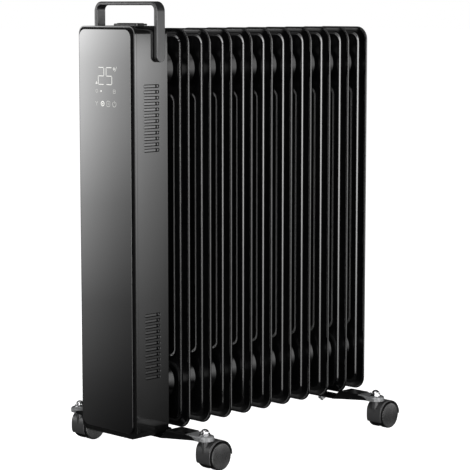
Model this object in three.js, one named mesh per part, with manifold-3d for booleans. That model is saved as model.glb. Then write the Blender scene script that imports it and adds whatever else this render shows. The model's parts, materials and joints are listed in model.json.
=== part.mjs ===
// Oil filled radiator heater: eleven pressed fins on two headers, a control casing with a glass front,
// a strap handle and four twin-wheel casters. Millimetres; +X to the right seen from the control panel,
// -Y towards the panel, +Z up. The origin is on the floor, under the middle of the heater's box.
import * as THREE from "three";
import { mergeVertices } from "three/addons/utils/BufferGeometryUtils.js";
import Module from "manifold-3d";

// ---------------------------------------------------------------- driving dimensions
// Every y is measured from the glass face; part() moves each piece to the middle of the length.
const HEIGHT = 655; // floor to the top of the handle
const LENGTH = 511; // glass face to the filler plug on the last fin
const GAP = 0.3; // between pieces that touch

// fins
const FIN_COUNT = 11;
const FIN_PITCH = 43;
const FIRST_FIN_Y = 67.2;
const LAST_FIN_Y = FIRST_FIN_Y + (FIN_COUNT - 1) * FIN_PITCH;
const FIN_HALF_WIDTH = 55.5;
const FIN_BOTTOM = 40;
const FIN_TOP = 617;
const FIN_CORNER = 20;
const SHEET_HALF = 0.8; // half of the two sheets where they are welded together
const CHANNEL_HALF = 4.5; // from the fin's middle to the outside of its oil channels
const OIL_SIDE = 17; // from the fin's side edge to the oil channels
const OIL_END = 10.5; // from the fin's top or bottom edge to the oil channels
const OIL_CORNER = 14;
const WEB_HALF_WIDTH = 29.5; // the welded web between the two side channels
const WEB_LOW = 141.5;
const WEB_HIGH = 525;
const WEB_SLANT = 14; // cut off each of the web's corners

// headers
const LOW_HEADER = 105.5;
const HIGH_HEADER = 559.5;
const HEADERS = [LOW_HEADER, HIGH_HEADER];
const HUB_RADIUS = 31; // where a hub rises out of the fin
const SHOULDER_RADIUS = 21;
const SHOULDER_REACH = 11;
const COLLAR_RADIUS = 18.5; // where the hubs of two fins meet
const END_REACH = 10.5; // of the closed hubs on the last fin
const NECK_RADIUS = 17; // of the first fin's hubs, where they enter the casing
const NECK_FOOT = 6.9;
const NECK_REACH = 9.2;
const HEADER_BORE = 13;
const HUB_SIDES = 10;
const PLUG_RADIUS = 6;

// control casing
const CASE_HALF_WIDTH = 58.5;
const CASE_BOTTOM = 41;
const CASE_TOP = 621;
const CASE_REAR = 64.5;
const CASE_CORNER = 11;
const CASE_WALL = 2.5;
const BEZEL_FRONT = 3.5;
const BEZEL_REAR = 7;
const BEZEL_LIP = 1.7; // depth of the pocket that holds the glass
const GLASS_HALF_WIDTH = 53.3;
const GLASS_LOW = 49.2;
const GLASS_HIGH = 616.4;
const GLASS_THICK = 4.9;
const GLASS_MARGIN = 1; // groove round the glass
const COVER_FRONT = 58;
const COVER_REAR = 59.9;
const DISPLAY_X = [-21.5, 27.5]; // window in the bezel behind the glass
const DISPLAY_Z = [499.5, 575.5];
const GLAND = [-30, 25]; // x and y of the cable gland in the casing's bottom
const GLAND_BODY = 6.7;
const GLAND_BORE = 3.6;
const GLAND_FLANGE = 10;

// louvres: two groups of slots in each side of the casing
const SLOT_COUNT = 12;
const SLOT_PITCH = 8.1;
const SLOT_HALF_LENGTH = 14.5;
const SLOT_HEIGHT = 4;
const SLOT_Y = 34.5;
const SLOT_STARTS = [127.4, 449]; // lowest slot of each group

// handle
const HANDLE_Y = 47;
const HANDLE_WIDTH = 16;
const HANDLE_THICK = 6.7;
const HANDLE_TOP_THICK = 5.4;
const HANDLE_INSIDE = CASE_HALF_WIDTH + GAP;
const HANDLE_CORNER = 14;
const HANDLE_END = 571;
const PEG_Z = 582;
const PEG_RADIUS = 4;
const PEG_LENGTH = 8;

// power button
const SURROUND_HALF = [25, 10.7]; // along X and Y
const BUTTON_Y = 49.2;
const BUTTON_RIM = 3;
const BUTTON_TOP = CASE_TOP + 3.8;
const BUTTON_PROUD = 0.8; // of its surround
const BUTTON_TRAVEL = 2;
const SKIRT_WALL = 1.2; // of the surround's skirt in the casing
const PLUNGER_END = CASE_TOP - 9;

// feet
const FOOT_Y = [63, 433];
const FOOT_HALF_DEPTH = 15.5;
const FOOT_LOW = 37.7;
const FOOT_TOP = 52;
const STEEL = 2;
const STEP_IN = 60; // a foot steps up between these, clear of the fins
const STEP_OUT = 70;
const WEB_END = 100; // where an arm's top ends and the tongue shows
const ARM_END = 126;
const U_BOLT_Y = [89, 433];
const U_BOLT_ROD = 3;
const U_BOLT_RADIUS = 22.4;
const U_BOLT_TAIL = 10; // below the foot

// casters
const STEM_X = 134;
const TRAIL = 18;
const WHEEL_RADIUS = 20;
const WHEEL_SIDES = 16;
const WHEEL_NEAR = 4; // a wheel's inner face, its rim's outer face and its hub's outer face, from the stem
const WHEEL_FAR = 13.2;
const WHEEL_CAP = 14.9;
const HOOD_RADIUS = 23.2;
const HOOD_INSIDE = 21.3;
const HOOD_FRONT = 204; // degrees round the axle from +Y over the top to the hood's front end
const HOOD_WEB = 3.2; // half the web between the two wheels
const HOOD_NECK = 9;
const CASTER_HALF_WIDTH = 14.5;
const AXLE_Z = WHEEL_RADIUS;
const AXLE_RADIUS = 2;
const AXLE_HALF = 11.5;
const STEM_RADIUS = 4;
const STEM_FLANGE = 8;
const STEM_LOW = 33;
const STEM_TOP = 57;
const NUT_RADIUS = 7.4;
const NUT_HEIGHT = 3;
const DOME_RADIUS = 6.2;
const TONGUE_RADIUS = 13.2;
const TONGUE_LOW = 44;
const TONGUE_TOP = 51.2;
const TONGUE_TAIL = 32; // from the stem into the foot

// ---------------------------------------------------------------- materials
function finish(color, roughness, metalness = 0) {
  return new THREE.MeshStandardMaterial({ color, roughness, metalness });
}
const enamel = finish(0x101011, 0.3);
const gloss = finish(0x1b1b1c, 0.25);
const glassBlack = finish(0x26262a, 0.1);
const satin = finish(0x2a2a2b, 0.45);
const rubber = finish(0x0d0d0d, 0.7);
const zinc = finish(0xa9abad, 0.35, 0.9);
const chrome = finish(0xd8d9db, 0.12, 1);
const steel = finish(0x8b8d90, 0.4, 1);
const board = finish(0x1c4a2c, 0.6);
const bakelite = finish(0xd9d4c6, 0.6);

// ---------------------------------------------------------------- solids
const wasm = await Module();
wasm.setup();

// A closed geometry as a solid, with its faces pointing out.
function solid(geometry) {
  const plain = new THREE.BufferGeometry();
  const source = geometry.index ? geometry.toNonIndexed() : geometry;
  plain.setAttribute("position", source.getAttribute("position"));
  const merged = mergeVertices(plain, 1e-4);
  const index = merged.index.array;
  const kept = [];
  for (let i = 0; i < index.length; i += 3) {
    const [a, b, c] = [index[i], index[i + 1], index[i + 2]];
    if (a !== b && b !== c && c !== a) kept.push(a, b, c);
  }
  const vertProperties = new Float32Array(merged.getAttribute("position").array);
  const triVerts = new Uint32Array(kept);
  return new wasm.Manifold(new wasm.Mesh({ numProp: 3, vertProperties, triVerts }));
}

function geometryOf(body) {
  const mesh = body.getMesh();
  const geometry = new THREE.BufferGeometry();
  geometry.setAttribute("position", new THREE.BufferAttribute(mesh.vertProperties, 3));
  geometry.setIndex(new THREE.BufferAttribute(mesh.triVerts, 1));
  geometry.computeVertexNormals();
  return geometry;
}

const union = (bodies) => bodies.reduce((all, body) => all.add(body));

function box([x0, x1], [y0, y1], [z0, z1]) {
  const geometry = new THREE.BoxGeometry(x1 - x0, y1 - y0, z1 - z0);
  return solid(geometry.translate((x0 + x1) / 2, (y0 + y1) / 2, (z0 + z1) / 2));
}

// Axes that an outline's own x, y and its extrusion run along.
const ALONG_X = new THREE.Matrix4().makeBasis(
  new THREE.Vector3(0, 1, 0), new THREE.Vector3(0, 0, 1), new THREE.Vector3(1, 0, 0));
const ALONG_Y = new THREE.Matrix4().makeBasis(
  new THREE.Vector3(1, 0, 0), new THREE.Vector3(0, 0, 1), new THREE.Vector3(0, -1, 0));

function prism(shape, length, curveSegments) {
  return new THREE.ExtrudeGeometry(shape, { depth: length, bevelEnabled: false, curveSegments });
}

// An outline in Y and Z, from x0 to x1.
function prismX(shape, x0, x1, curveSegments = 3) {
  return solid(prism(shape, x1 - x0, curveSegments).applyMatrix4(ALONG_X).translate(x0, 0, 0));
}

// An outline in X and Z, from y0 to y1.
function prismY(shape, y0, y1, curveSegments = 3) {
  return solid(prism(shape, y1 - y0, curveSegments).applyMatrix4(ALONG_Y).translate(0, y1, 0));
}

// An outline in X and Y, from z0 to z1.
function prismZ(shape, z0, z1, curveSegments = 3) {
  return solid(prism(shape, z1 - z0, curveSegments).translate(0, 0, z0));
}

function polygon(points) {
  return new THREE.Shape(points.map(([a, b]) => new THREE.Vector2(a, b)));
}

// The same outline on the right or the left side of the heater.
function sided(points, side) {
  return side > 0 ? polygon(points) : polygon(points.map(([x, z]) => [-x, z]).reverse());
}

function roundedRect([a0, a1], [b0, b1], r) {
  const shape = new THREE.Shape();
  shape.moveTo(a0 + r, b0);
  shape.lineTo(a1 - r, b0);
  shape.absarc(a1 - r, b0 + r, r, -Math.PI / 2, 0);
  shape.lineTo(a1, b1 - r);
  shape.absarc(a1 - r, b1 - r, r, 0, Math.PI / 2);
  shape.lineTo(a0 + r, b1);
  shape.absarc(a0 + r, b1 - r, r, Math.PI / 2, Math.PI);
  shape.lineTo(a0, b0 + r);
  shape.absarc(a0 + r, b0 + r, r, Math.PI, Math.PI * 1.5);
  return shape;
}

// A turned solid: [radius, distance along the axis] points from the axis outwards and back.
function turned(points, sides, axis, [x, y, z]) {
  const profile = points.map(([r, t]) => new THREE.Vector2(r, t));
  const geometry = new THREE.LatheGeometry(profile, sides).rotateY(Math.PI / sides);
  if (axis === "x") geometry.rotateZ(-Math.PI / 2);
  if (axis === "z") geometry.rotateX(Math.PI / 2);
  return solid(geometry.translate(x, y, z));
}

function disc(radius, from, to, sides, axis, place) {
  return turned([[0, from], [radius, from], [radius, to], [0, to]], sides, axis, place);
}

const heater = new THREE.Group();
heater.name = "oil_filled_radiator_heater";

function part(name, body, material) {
  const mesh = new THREE.Mesh(geometryOf(body), material.clone());
  mesh.name = name;
  mesh.position.y = -LENGTH / 2;
  heater.add(mesh);
}

// ---------------------------------------------------------------- fins
const finOutline = roundedRect([-FIN_HALF_WIDTH, FIN_HALF_WIDTH], [FIN_BOTTOM, FIN_TOP], FIN_CORNER);
const oilOutline = roundedRect(
  [-FIN_HALF_WIDTH + OIL_SIDE, FIN_HALF_WIDTH - OIL_SIDE],
  [FIN_BOTTOM + OIL_END, FIN_TOP - OIL_END], OIL_CORNER);
const webInner = WEB_HALF_WIDTH - WEB_SLANT;
const webOutline = polygon([
  [-webInner, WEB_LOW], [webInner, WEB_LOW],
  [WEB_HALF_WIDTH, WEB_LOW + WEB_SLANT], [WEB_HALF_WIDTH, WEB_HIGH - WEB_SLANT],
  [webInner, WEB_HIGH], [-webInner, WEB_HIGH],
  [-WEB_HALF_WIDTH, WEB_HIGH - WEB_SLANT], [-WEB_HALF_WIDTH, WEB_LOW + WEB_SLANT]]);

// Half of a fin's hub, by what it meets: the next fin, nothing, or the casing.
const meeting = (FIN_PITCH - GAP) / 2;
const HUB_PROFILES = {
  collar: [[0, 0], [HUB_RADIUS, 0], [HUB_RADIUS, CHANNEL_HALF], [SHOULDER_RADIUS, SHOULDER_REACH],
    [COLLAR_RADIUS, meeting], [0, meeting]],
  end: [[0, 0], [HUB_RADIUS, 0], [HUB_RADIUS, CHANNEL_HALF], [SHOULDER_RADIUS, END_REACH], [0, END_REACH]],
  neck: [[0, 0], [HUB_RADIUS, 0], [HUB_RADIUS, CHANNEL_HALF], [HUB_RADIUS - 3, NECK_FOOT],
    [NECK_RADIUS, NECK_FOOT], [NECK_RADIUS, NECK_REACH], [0, NECK_REACH]],
};

function hub(kind, side, y, z) {
  const half = turned(HUB_PROFILES[kind], HUB_SIDES, "y", [0, 0, 0]);
  const facing = side > 0 ? half : half.mirror([0, 1, 0]);
  return facing.translate([0, y, z]);
}

function fin(i) {
  const y = FIRST_FIN_Y + i * FIN_PITCH;
  const first = i === 0;
  const last = i === FIN_COUNT - 1;
  const channels = prismY(oilOutline, y - CHANNEL_HALF, y + CHANNEL_HALF, 2)
    .subtract(prismY(webOutline, y - CHANNEL_HALF - 1, y + CHANNEL_HALF + 1));
  let body = channels.add(prismY(finOutline, y - SHEET_HALF, y + SHEET_HALF, 2));
  for (const z of HEADERS) {
    body = body.add(hub(first ? "neck" : "collar", -1, y, z));
    body = body.add(hub(last ? "end" : "collar", 1, y, z));
  }
  const boreEnd = last ? END_REACH - CHANNEL_HALF : FIN_PITCH;
  return body.subtract(disc(HEADER_BORE, -FIN_PITCH, boreEnd, HUB_SIDES, "y", [0, y, LOW_HEADER]));
}

for (let i = 0; i < FIN_COUNT; i++)
  part("fin_" + String(i + 1).padStart(2, "0"), fin(i), enamel);

const plugFoot = LAST_FIN_Y + END_REACH + GAP;
part("oil_filler_plug", turned([[0, plugFoot], [PLUG_RADIUS, plugFoot], [PLUG_RADIUS, plugFoot + 1.5],
  [PLUG_RADIUS - 2, LENGTH], [0, LENGTH]], 8, "y", [0, 0, LOW_HEADER]), steel);

// ---------------------------------------------------------------- control casing
const inset = (d) => roundedRect(
  [-CASE_HALF_WIDTH + d, CASE_HALF_WIDTH - d], [CASE_BOTTOM + d, CASE_TOP - d], CASE_CORNER - d);
const grown = ([a, b], d) => [a - d, b + d];

// The push-button's hole, grown by d all round.
function buttonHole(d) {
  const [halfX, halfY] = SURROUND_HALF.map((half) => half - BUTTON_RIM + d);
  return [[-halfX, halfX], [BUTTON_Y - halfY, BUTTON_Y + halfY]];
}

function casingShell() {
  let body = prismY(inset(0), BEZEL_REAR + GAP, CASE_REAR)
    .subtract(prismY(inset(CASE_WALL), BEZEL_REAR, CASE_REAR + 1));
  const slotY = [SLOT_Y - SLOT_HALF_LENGTH, SLOT_Y + SLOT_HALF_LENGTH];
  for (const start of SLOT_STARTS)
    for (let i = 0; i < SLOT_COUNT; i++) {
      const z = start + i * SLOT_PITCH;
      for (const side of [-1, 1]) {
        const x = side * (CASE_HALF_WIDTH - CASE_WALL / 2);
        body = body.subtract(
          box([x - CASE_WALL, x + CASE_WALL], slotY, [z - SLOT_HEIGHT / 2, z + SLOT_HEIGHT / 2]));
      }
    }
  body = body.subtract(box(...buttonHole(SKIRT_WALL), [CASE_TOP - 2 * CASE_WALL, CASE_TOP + 1]));
  const reach = CASE_HALF_WIDTH + 1;
  body = body.subtract(disc(PEG_RADIUS + GAP, -reach, reach, 12, "x", [0, HANDLE_Y, PEG_Z]));
  return body.subtract(
    disc(GLAND_BODY + GAP, -2 * CASE_WALL, 2 * CASE_WALL, 10, "z", [...GLAND, CASE_BOTTOM]));
}
part("casing_shell", casingShell(), gloss);

const glassX = [-GLASS_HALF_WIDTH, GLASS_HALF_WIDTH];
const glassZ = [GLASS_LOW, GLASS_HIGH];

function frontBezel() {
  const pocket = roundedRect(grown(glassX, GLASS_MARGIN), grown(glassZ, GLASS_MARGIN),
    CASE_CORNER + GLASS_MARGIN);
  return prismY(inset(0), BEZEL_FRONT, BEZEL_REAR)
    .subtract(prismY(pocket, BEZEL_FRONT - 1, BEZEL_FRONT + BEZEL_LIP))
    .subtract(box(DISPLAY_X, [0, BEZEL_REAR + 1], DISPLAY_Z));
}
part("front_bezel", frontBezel(), gloss);
part("glass_panel", prismY(roundedRect(glassX, glassZ, CASE_CORNER), 0, GLASS_THICK), glassBlack);

function rearCover() {
  let body = prismY(inset(CASE_WALL + GAP), COVER_FRONT, COVER_REAR);
  for (const z of HEADERS)
    body = body.subtract(disc(NECK_RADIUS + GAP, -5, 5, HUB_SIDES, "y", [0, COVER_FRONT, z]));
  return body;
}
part("casing_rear_cover", rearCover(), steel);

// ---------------------------------------------------------------- inside the casing
const BOARD_THICK = 1.6;
const boardY = BEZEL_REAR + GAP;
const moduleFront = BEZEL_FRONT + BEZEL_LIP + 0.5;
part("display_board", box([-34, 40], [boardY, boardY + BOARD_THICK], [470, 590])
  .add(box(grown(DISPLAY_X, -1), [moduleFront, boardY + 1], grown(DISPLAY_Z, -1))), board);

// Relays, a filter capacitor and a transformer stand on the power board, towards the glass.
const POWER_BOARD_Y = 30;
const COMPONENTS = [
  { x: [-32, -14], z: [250, 282] },
  { x: [-8, 10], z: [250, 282] },
  { x: [16, 34], z: [250, 282] },
  { x: [-30, 0], z: [330, 362] },
  { x: [12, 28], z: [320, 385] }];
const componentY = [POWER_BOARD_Y - 15, POWER_BOARD_Y + 1];
part("power_board", union([
  box([-38, 38], [POWER_BOARD_Y, POWER_BOARD_Y + BOARD_THICK], [230, 400]),
  ...COMPONENTS.map(({ x, z }) => box(x, componentY, z))]), board);

const wallFront = COVER_FRONT - GAP; // the rear cover carries the small parts
part("tilt_switch", box([-44, -24], [wallFront - 12, wallFront], [180, 204]), satin);
part("terminal_block", union([
  box([-20, 20], [wallFront - 12, wallFront], [148, 160]),
  ...[-13, 0, 13].map((x) => box([x - 4, x + 4], [wallFront - 16, wallFront - 10], [150, 158]))]), bakelite);

const wallInside = CASE_HALF_WIDTH - CASE_WALL - GAP;
part("temperature_sensor", box([wallInside - 5, wallInside], [53, 57], [110, 134])
  .add(disc(2, 0, 8, 8, "z", [wallInside - 3, 55, 132])), satin);

const glandNut = CASE_WALL + GAP;
part("cable_gland", turned([[GLAND_BORE, -4.7], [9, -4.7], [9, -GAP], [GLAND_BODY, -GAP],
  [GLAND_BODY, glandNut], [GLAND_FLANGE, glandNut], [GLAND_FLANGE, 7], [5.5, 12], [GLAND_BORE, 12],
  [GLAND_BORE, -4.7]], 10, "z", [...GLAND, CASE_BOTTOM]), satin);

// The cut-out and the element close the first fin's hubs from inside the casing.
const FLANGE_RADIUS = 21.5;
const flangeRear = FIRST_FIN_Y - NECK_REACH - GAP;
const bladeY = [flangeRear - 15, flangeRear - 8];
const bladeZ = [HIGH_HEADER - 1, HIGH_HEADER + 1];
part("thermal_cutout", union([
  disc(FLANGE_RADIUS, -2, 0, 12, "y", [0, flangeRear, HIGH_HEADER]),
  disc(9, -9, -1, 12, "y", [0, flangeRear, HIGH_HEADER]),
  box([-6, -3], bladeY, bladeZ),
  box([3, 6], bladeY, bladeZ)]), bakelite);

// The element is a hairpin rod in the bottom header.
function heatingElement() {
  const spread = 6;
  const rod = 4.2;
  const far = LAST_FIN_Y - FIN_PITCH / 2;
  const pull = far + spread * 4 / 3; // of the bend's control points
  const at = (x, y) => new THREE.Vector3(x, y, LOW_HEADER);
  const bend = new THREE.ExtrudeGeometry(
    polygon(Array.from({ length: 8 }, (_, k) => [
      rod * Math.cos(k * Math.PI / 4), rod * Math.sin(k * Math.PI / 4)])),
    { steps: 6, bevelEnabled: false, extrudePath: new THREE.CubicBezierCurve3(
      at(-spread, far), at(-spread, pull), at(spread, pull), at(spread, far)) });
  const pieces = [disc(FLANGE_RADIUS, -6, 0, 12, "y", [0, flangeRear, LOW_HEADER]), solid(bend)];
  for (const side of [-1, 1]) {
    pieces.push(disc(rod, flangeRear - 1, far, 8, "y", [side * spread, 0, LOW_HEADER]));
    pieces.push(disc(2, flangeRear - 16, flangeRear - 5, 8, "y", [side * 8, 0, LOW_HEADER]));
  }
  return union(pieces);
}
part("heating_element", heatingElement(), steel);

// ---------------------------------------------------------------- handle and button
function handle() {
  const outer = HANDLE_INSIDE + HANDLE_THICK;
  const round = HANDLE_WIDTH / 2;
  const [y0, y1] = [HANDLE_Y - round, HANDLE_Y + round];
  const legLow = HANDLE_END + round;
  const outside = roundedRect([-outer, outer], [legLow - 2 * HANDLE_CORNER, HEIGHT], HANDLE_CORNER);
  const inside = roundedRect([-HANDLE_INSIDE, HANDLE_INSIDE],
    [legLow - 3 * HANDLE_CORNER, HEIGHT - HANDLE_TOP_THICK], HANDLE_CORNER - HANDLE_THICK);
  const strap = prismY(outside, y0, y1, 4).subtract(prismY(inside, y0 - 1, y1 + 1, 4))
    .subtract(box([-outer - 1, outer + 1], [y0 - 1, y1 + 1], [legLow - 4 * HANDLE_CORNER, legLow]));
  const end = new THREE.Shape();
  end.moveTo(y1, legLow + 1);
  end.lineTo(y0, legLow + 1);
  end.lineTo(y0, legLow);
  end.absarc(HANDLE_Y, legLow, round, Math.PI, Math.PI * 2);
  const peg = disc(PEG_RADIUS, HANDLE_INSIDE - PEG_LENGTH, HANDLE_INSIDE + 1, 12, "x", [0, HANDLE_Y, PEG_Z]);
  return union([strap, prismX(end, HANDLE_INSIDE, outer, 4), prismX(end, -outer, -HANDLE_INSIDE, 4),
    peg, peg.mirror([1, 0, 0])]);
}
part("handle", handle(), satin);

function buttonSurround() {
  const y = [BUTTON_Y - SURROUND_HALF[1], BUTTON_Y + SURROUND_HALF[1]];
  const outer = roundedRect([-SURROUND_HALF[0], SURROUND_HALF[0]], y, BUTTON_RIM / 2);
  return prismZ(outer, CASE_TOP + GAP, BUTTON_TOP - BUTTON_PROUD, 1)
    .add(box(...buttonHole(SKIRT_WALL - GAP), [CASE_TOP - 8, CASE_TOP + 1]))
    .subtract(box(...buttonHole(0), [CASE_TOP - 9, BUTTON_TOP + 1]));
}
part("power_button_surround", buttonSurround(), satin);
part("power_button", box(...buttonHole(-1.5 * GAP), [CASE_TOP - 4, BUTTON_TOP])
  .add(box([-3, 3], [BUTTON_Y - 3, BUTTON_Y + 3], [PLUNGER_END, CASE_TOP - 3])), satin);
part("power_switch", box([-14, 14], [BUTTON_Y - 8, BUTTON_Y + 8],
  [PLUNGER_END - 25, PLUNGER_END - BUTTON_TRAVEL - 1]), satin);

// ---------------------------------------------------------------- feet
// One arm from the front: a plate under the fins that steps up to the arm's top, and its flange.
const FOOT_PLATE = [
  [-1, FOOT_LOW], [STEP_IN + 1, FOOT_LOW], [STEP_OUT + 1, FOOT_TOP - STEEL], [WEB_END, FOOT_TOP - STEEL],
  [WEB_END, FOOT_TOP], [STEP_OUT, FOOT_TOP], [STEP_IN, FOOT_LOW + STEEL], [-1, FOOT_LOW + STEEL]];
const FOOT_FLANGE = [
  [STEP_IN - 6, FOOT_LOW], [STEP_IN + 22, FOOT_LOW + 2.8], [ARM_END, TONGUE_LOW + 1],
  [ARM_END, TONGUE_LOW + 2.5], [WEB_END + 8, FOOT_TOP], [STEP_OUT, FOOT_TOP],
  [STEP_IN, FOOT_LOW + STEEL], [STEP_IN - 6, FOOT_LOW + STEEL]];

function foot(y, boltY) {
  const [y0, y1] = [y - FOOT_HALF_DEPTH, y + FOOT_HALF_DEPTH];
  const pieces = [];
  for (const side of [-1, 1]) {
    pieces.push(prismY(sided(FOOT_PLATE, side), y0, y1));
    pieces.push(prismY(sided(FOOT_FLANGE, side), y0, y0 + STEEL));
    pieces.push(prismY(sided(FOOT_FLANGE, side), y1 - STEEL, y1));
  }
  if (boltY > y1) {
    const half = U_BOLT_RADIUS + 10;
    pieces.push(box([-half, half], [y, boltY + 10], [FOOT_LOW, FOOT_LOW + STEEL]));
  }
  let body = union(pieces);
  for (const side of [-1, 1])
    body = body.subtract(
      disc(U_BOLT_ROD + GAP, -5, 5, 8, "z", [side * U_BOLT_RADIUS, boltY, FOOT_LOW]));
  return body;
}

// A rod bent round the bottom header, through the foot, with a nut run up each leg.
function uBolt(y) {
  const z = LOW_HEADER;
  const low = FOOT_LOW - U_BOLT_TAIL;
  const [outer, inner] = [U_BOLT_RADIUS + U_BOLT_ROD, U_BOLT_RADIUS - U_BOLT_ROD];
  const arc = new THREE.Shape();
  arc.moveTo(outer, z - 1);
  arc.lineTo(outer, z);
  arc.absarc(0, z, outer, 0, Math.PI);
  arc.lineTo(-outer, z - 1);
  arc.lineTo(-inner, z - 1);
  arc.lineTo(-inner, z);
  arc.absarc(0, z, inner, Math.PI, 0, true);
  arc.lineTo(inner, z - 1);
  const pieces = [prismY(arc, y - 2.5, y + 2.5, 5)];
  for (const side of [-1, 1]) {
    const x = side * U_BOLT_RADIUS;
    pieces.push(disc(U_BOLT_ROD, low, z, 8, "z", [x, y, 0]));
    pieces.push(disc(2 * U_BOLT_ROD, low + 3, FOOT_LOW - GAP, 6, "z", [x, y, 0]));
  }
  return union(pieces);
}

["front", "rear"].forEach((row, i) => {
  part(row + "_foot", foot(FOOT_Y[i], U_BOLT_Y[i]), enamel);
  part(row + "_u_bolt", uBolt(U_BOLT_Y[i]), zinc);
});

// ---------------------------------------------------------------- casters
// Each piece is drawn round the stem at x = 0, y = 0 and then set in place.
function tongue(side) {
  const outline = (r) => {
    const shape = new THREE.Shape();
    shape.moveTo(-TONGUE_TAIL, -r);
    shape.lineTo(0, -r);
    shape.absarc(0, 0, r, -Math.PI / 2, Math.PI / 2);
    shape.lineTo(-TONGUE_TAIL, r);
    return shape;
  };
  const body = prismZ(outline(TONGUE_RADIUS), TONGUE_LOW, TONGUE_TOP, 5)
    .subtract(prismZ(outline(TONGUE_RADIUS - STEEL), TONGUE_LOW - 1, TONGUE_TOP - STEEL, 5))
    .subtract(disc(STEM_RADIUS + 0.5, -9, 9, 8, "z", [0, 0, TONGUE_TOP]));
  return side > 0 ? body : body.mirror([1, 0, 0]);
}

const collarLow = TONGUE_LOW - GAP;
const collarHigh = TONGUE_TOP - STEEL - GAP;
const stem = turned([[0, STEM_LOW], [STEM_RADIUS, STEM_LOW], [STEM_RADIUS, collarLow],
  [STEM_FLANGE, collarLow], [STEM_FLANGE, collarHigh], [STEM_RADIUS, collarHigh],
  [STEM_RADIUS, STEM_TOP], [0, STEM_TOP]], 8, "z", [0, 0, 0]);

function domeNut() {
  const foot = TONGUE_TOP + GAP;
  const centre = foot + NUT_HEIGHT;
  const slope = DOME_RADIUS * Math.SQRT1_2;
  const dome = [[0, foot], [DOME_RADIUS, foot], [DOME_RADIUS, centre], [slope, centre + slope],
    [0, centre + DOME_RADIUS]];
  return disc(NUT_RADIUS, foot, centre, 6, "z", [0, 0, 0])
    .add(turned(dome, 8, "z", [0, 0, 0]))
    .subtract(disc(STEM_RADIUS + 0.5, foot - 1, STEM_TOP + GAP, 8, "z", [0, 0, 0]));
}

function hood() {
  const centre = [0, TRAIL, AXLE_Z];
  const pie = new THREE.Shape();
  pie.moveTo(TRAIL, AXLE_Z);
  pie.lineTo(TRAIL + HOOD_RADIUS, AXLE_Z);
  pie.absarc(TRAIL, AXLE_Z, HOOD_RADIUS, 0, THREE.MathUtils.degToRad(HOOD_FRONT));
  let body = prismX(pie, -CASTER_HALF_WIDTH, CASTER_HALF_WIDTH, 10)
    .add(disc(HOOD_NECK, 24, TONGUE_LOW - 2 * GAP, 10, "z", [0, 0, 0]));
  const bay = disc(HOOD_INSIDE, HOOD_WEB, CASTER_HALF_WIDTH + 5, 16, "x", centre);
  body = body.subtract(bay).subtract(bay.mirror([1, 0, 0]));
  return body.add(disc(5, -HOOD_WEB, HOOD_WEB, 8, "x", centre))
    .subtract(disc(AXLE_RADIUS + GAP, -6, 6, 8, "x", centre))
    .subtract(disc(STEM_RADIUS + 0.6, STEM_LOW - 0.4, STEM_TOP, 8, "z", [0, 0, 0]));
}

function wheel(side) {
  const r = WHEEL_RADIUS / Math.cos(Math.PI / WHEEL_SIDES); // its flats touch the floor
  const bore = AXLE_RADIUS + 0.35;
  const boreEnd = AXLE_HALF + 0.5;
  const body = turned([[0, boreEnd], [bore, boreEnd], [bore, WHEEL_NEAR], [r, WHEEL_NEAR],
    [r, WHEEL_FAR], [r - 1.8, WHEEL_FAR + 0.9], [0, WHEEL_CAP]], WHEEL_SIDES, "x", [0, 0, 0]);
  return (side > 0 ? body : body.mirror([1, 0, 0])).translate([0, TRAIL, AXLE_Z]);
}

const axle = disc(AXLE_RADIUS, -AXLE_HALF, AXLE_HALF, 8, "x", [0, TRAIL, AXLE_Z]);
["front", "rear"].forEach((row, i) => {
  for (const [name, side] of [["left", -1], ["right", 1]]) {
    const place = (body) => body.translate([side * STEM_X, FOOT_Y[i], 0]);
    const corner = row + "_" + name + "_";
    part(corner + "tongue", place(tongue(side)), zinc);
    part(corner + "dome_nut", place(domeNut()), chrome);
    part(corner + "caster_stem", place(stem), steel);
    part(corner + "caster_hood", place(hood()), satin);
    part(corner + "caster_axle", place(axle), steel);
    part(corner + "outer_wheel", place(wheel(side)), rubber);
    part(corner + "inner_wheel", place(wheel(-side)), rubber);
  }
});

export default heater;
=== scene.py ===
"""The looks of an oil filled radiator heater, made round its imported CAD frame.

The functions work in millimetres, in the frame's own axes: +X to the right seen from the control
panel, -Y towards the panel, +Z up. Meshes are stored in metres.
"""
import json
import math

import bmesh
import bpy
from mathutils import Euler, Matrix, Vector
from mathutils.geometry import delaunay_2d_cdt


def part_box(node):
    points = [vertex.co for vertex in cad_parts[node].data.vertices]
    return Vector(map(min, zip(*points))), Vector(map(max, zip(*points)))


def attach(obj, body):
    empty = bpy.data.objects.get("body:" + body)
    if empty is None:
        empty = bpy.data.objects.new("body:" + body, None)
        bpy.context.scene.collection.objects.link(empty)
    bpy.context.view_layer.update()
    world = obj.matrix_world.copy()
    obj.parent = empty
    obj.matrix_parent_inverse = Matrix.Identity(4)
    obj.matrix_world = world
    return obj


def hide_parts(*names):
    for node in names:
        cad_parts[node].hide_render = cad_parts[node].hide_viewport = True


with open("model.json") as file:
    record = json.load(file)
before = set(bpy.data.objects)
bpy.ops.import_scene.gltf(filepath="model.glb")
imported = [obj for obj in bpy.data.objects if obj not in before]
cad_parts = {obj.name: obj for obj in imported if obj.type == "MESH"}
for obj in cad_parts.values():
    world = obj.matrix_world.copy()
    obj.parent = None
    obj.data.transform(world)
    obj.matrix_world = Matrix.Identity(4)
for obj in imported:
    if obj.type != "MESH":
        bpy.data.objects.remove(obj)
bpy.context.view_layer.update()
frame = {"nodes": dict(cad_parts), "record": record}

MM = 0.001
HEATER = "heater"
CORNERS = ("front_left", "front_right", "rear_left", "rear_right")


def box_mm(node):
    """Lowest and highest corner of a CAD node, in millimetres."""
    low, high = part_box(node)
    return low / MM, high / MM


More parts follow.
